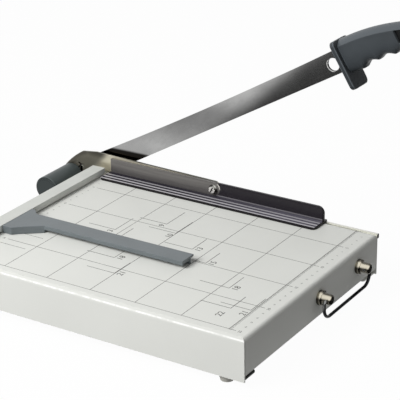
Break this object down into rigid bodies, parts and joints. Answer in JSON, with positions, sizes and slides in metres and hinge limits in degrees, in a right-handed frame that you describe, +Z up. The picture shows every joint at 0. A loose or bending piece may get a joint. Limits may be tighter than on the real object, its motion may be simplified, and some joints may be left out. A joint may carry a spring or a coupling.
{
  "type": "guillotine paper cutter",
  "caption": "Desk guillotine with a folded steel table, fixed knife, long hinged blade with a moulded grip, pressing guard on a sprung arm, side fence, sliding square gauge and carrying bail.",
  "frame": {"origin": "on the floor under the middle of the part's overall box at rest, with the blade open", "axes": "+X along the cut from the pivot to the handle, +Y to the rear from the operator, +Z up"},
  "size_m": [0.444, 0.2747, 0.2737],
  "materials": {
    "table_paint": "satin off-white paint with printed lines",
    "foot_rubber": "pale grey moulded rubber",
    "zinc_steel": "bright zinc plate",
    "knife_steel": "ground steel",
    "spring_steel": "oiled spring wire",
    "housing_plastic": "fine-grained dark grey",
    "blade_steel": "polished steel with a ground bevel",
    "grip_plastic": "fine-grained slate grey",
    "arm_nickel": "nickel plate",
    "smoked_plastic": "smoked translucent",
    "fence_plastic": "pale grey",
    "gauge_plastic": "mid grey",
    "dark_wire": "black-chromed wire"
  },
  "bodies": {
    "base": {"base_shell": "table_paint", "feet": "foot_rubber", "foot_screws": "zinc_steel", "foot_nuts": "zinc_steel", "lower_knife": "knife_steel", "knife_screws": "zinc_steel", "knife_nuts": "zinc_steel", "pivot_bolt": "zinc_steel", "pivot_washers": "zinc_steel", "pivot_nut": "zinc_steel", "pivot_spring": "spring_steel", "spring_seat": "zinc_steel", "spring_housing": "housing_plastic", "housing_cap": "housing_plastic", "fence": "fence_plastic", "fence_screws": "zinc_steel", "bail_posts": "arm_nickel", "bail_screws": "zinc_steel"},
    "blade": {"blade": "blade_steel", "handle_grip": "grip_plastic", "handle_screws": "zinc_steel"},
    "arm": {"press_arm": "arm_nickel", "guard_screw": "zinc_steel", "guard_washer": "zinc_steel", "guard_nut": "zinc_steel"},
    "guard": {"guard": "smoked_plastic"},
    "gauge": {"gauge": "gauge_plastic"},
    "bail": {"bail_wire": "dark_wire"}
  },
  "joints": [
    {"name": "blade_hinge", "type": "hinge", "parent": "base", "child": "blade", "pos_m": [-0.20762, 0.12035, 0.0386], "axis": [0, -1, 0], "range_deg": [-27, 40]},
    {"name": "arm_lift", "type": "hinge", "parent": "base", "child": "arm", "pos_m": [-0.20762, 0.12035, 0.0386], "axis": [0, -1, 0], "range_deg": [0, 8]},
    {"name": "guard_level", "type": "hinge", "parent": "arm", "child": "guard", "pos_m": [-0.02512, 0.11335, 0.0608], "axis": [0, -1, 0], "range_deg": [-8, 0]},
    {"name": "gauge_slide", "type": "slide", "parent": "base", "child": "gauge", "axis": [0, 1, 0], "range_m": [-0.064, 0.11]},
    {"name": "bail_swing", "type": "hinge", "parent": "base", "child": "bail", "pos_m": [0.17088, 0.03735, 0.0325], "axis": [0, -1, 0], "range_deg": [-12, 180]}
  ],
  "couplings": [
    {"joint": "guard_level", "follows": "arm_lift", "ratio": -1}
  ]
}
